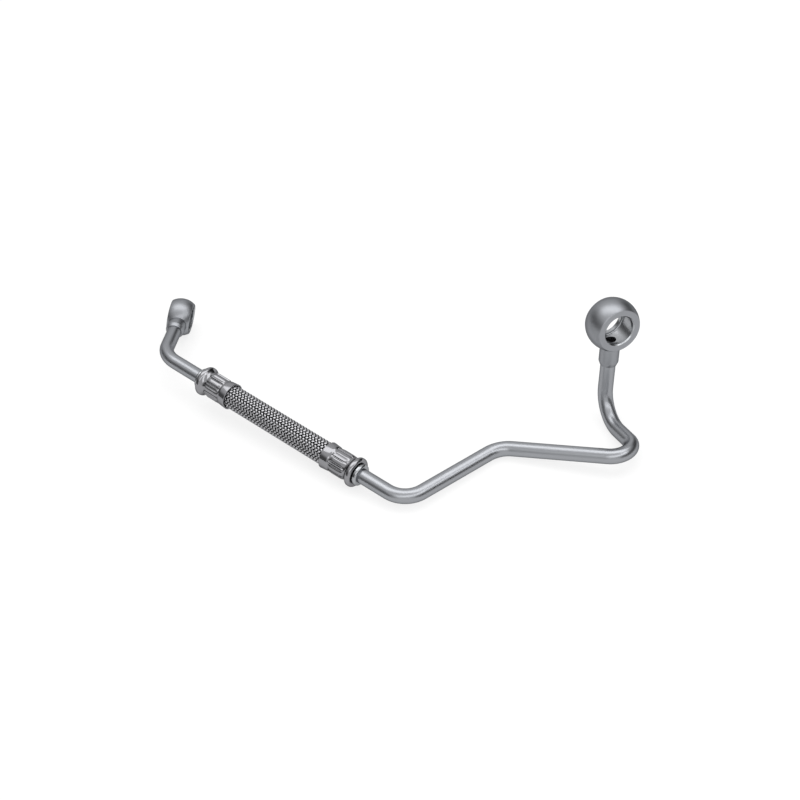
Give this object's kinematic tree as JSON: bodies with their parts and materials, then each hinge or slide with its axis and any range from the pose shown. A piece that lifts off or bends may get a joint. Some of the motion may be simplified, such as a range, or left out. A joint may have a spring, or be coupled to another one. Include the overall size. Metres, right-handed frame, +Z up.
{
  "type": "turbo oil feed line",
  "caption": "Bent steel oil feed line with a banjo eye at each end and a short braided hose section crimped between two tubes.",
  "frame": {"origin": "middle of the bounding box, on the surface that the line lies on", "axes": "+Z up, +X from the small banjo eye towards the large one, +Y away from the side on which the large eye's bore opens"},
  "size_m": [0.192, 0.1305, 0.0526],
  "materials": {
    "eye_steel": "satin, zinc-nickel grey",
    "tube_steel": "satin, zinc-nickel grey",
    "nipple_steel": "turned, satin",
    "sleeve_steel": "pressed stainless steel, semi-bright",
    "liner_polymer": "smooth black fluoropolymer",
    "braid_wire": "bright drawn stainless wire"
  },
  "bodies": {
    "root": {"large_banjo": "eye_steel", "small_banjo": "eye_steel", "long_tube": "tube_steel", "short_tube": "tube_steel", "left_hose_nipple": "nipple_steel", "right_hose_nipple": "nipple_steel", "left_crimp_sleeve": "sleeve_steel", "right_crimp_sleeve": "sleeve_steel", "hose_liner": "liner_polymer", "wire_braid": "braid_wire"}
  },
  "joints": []
}
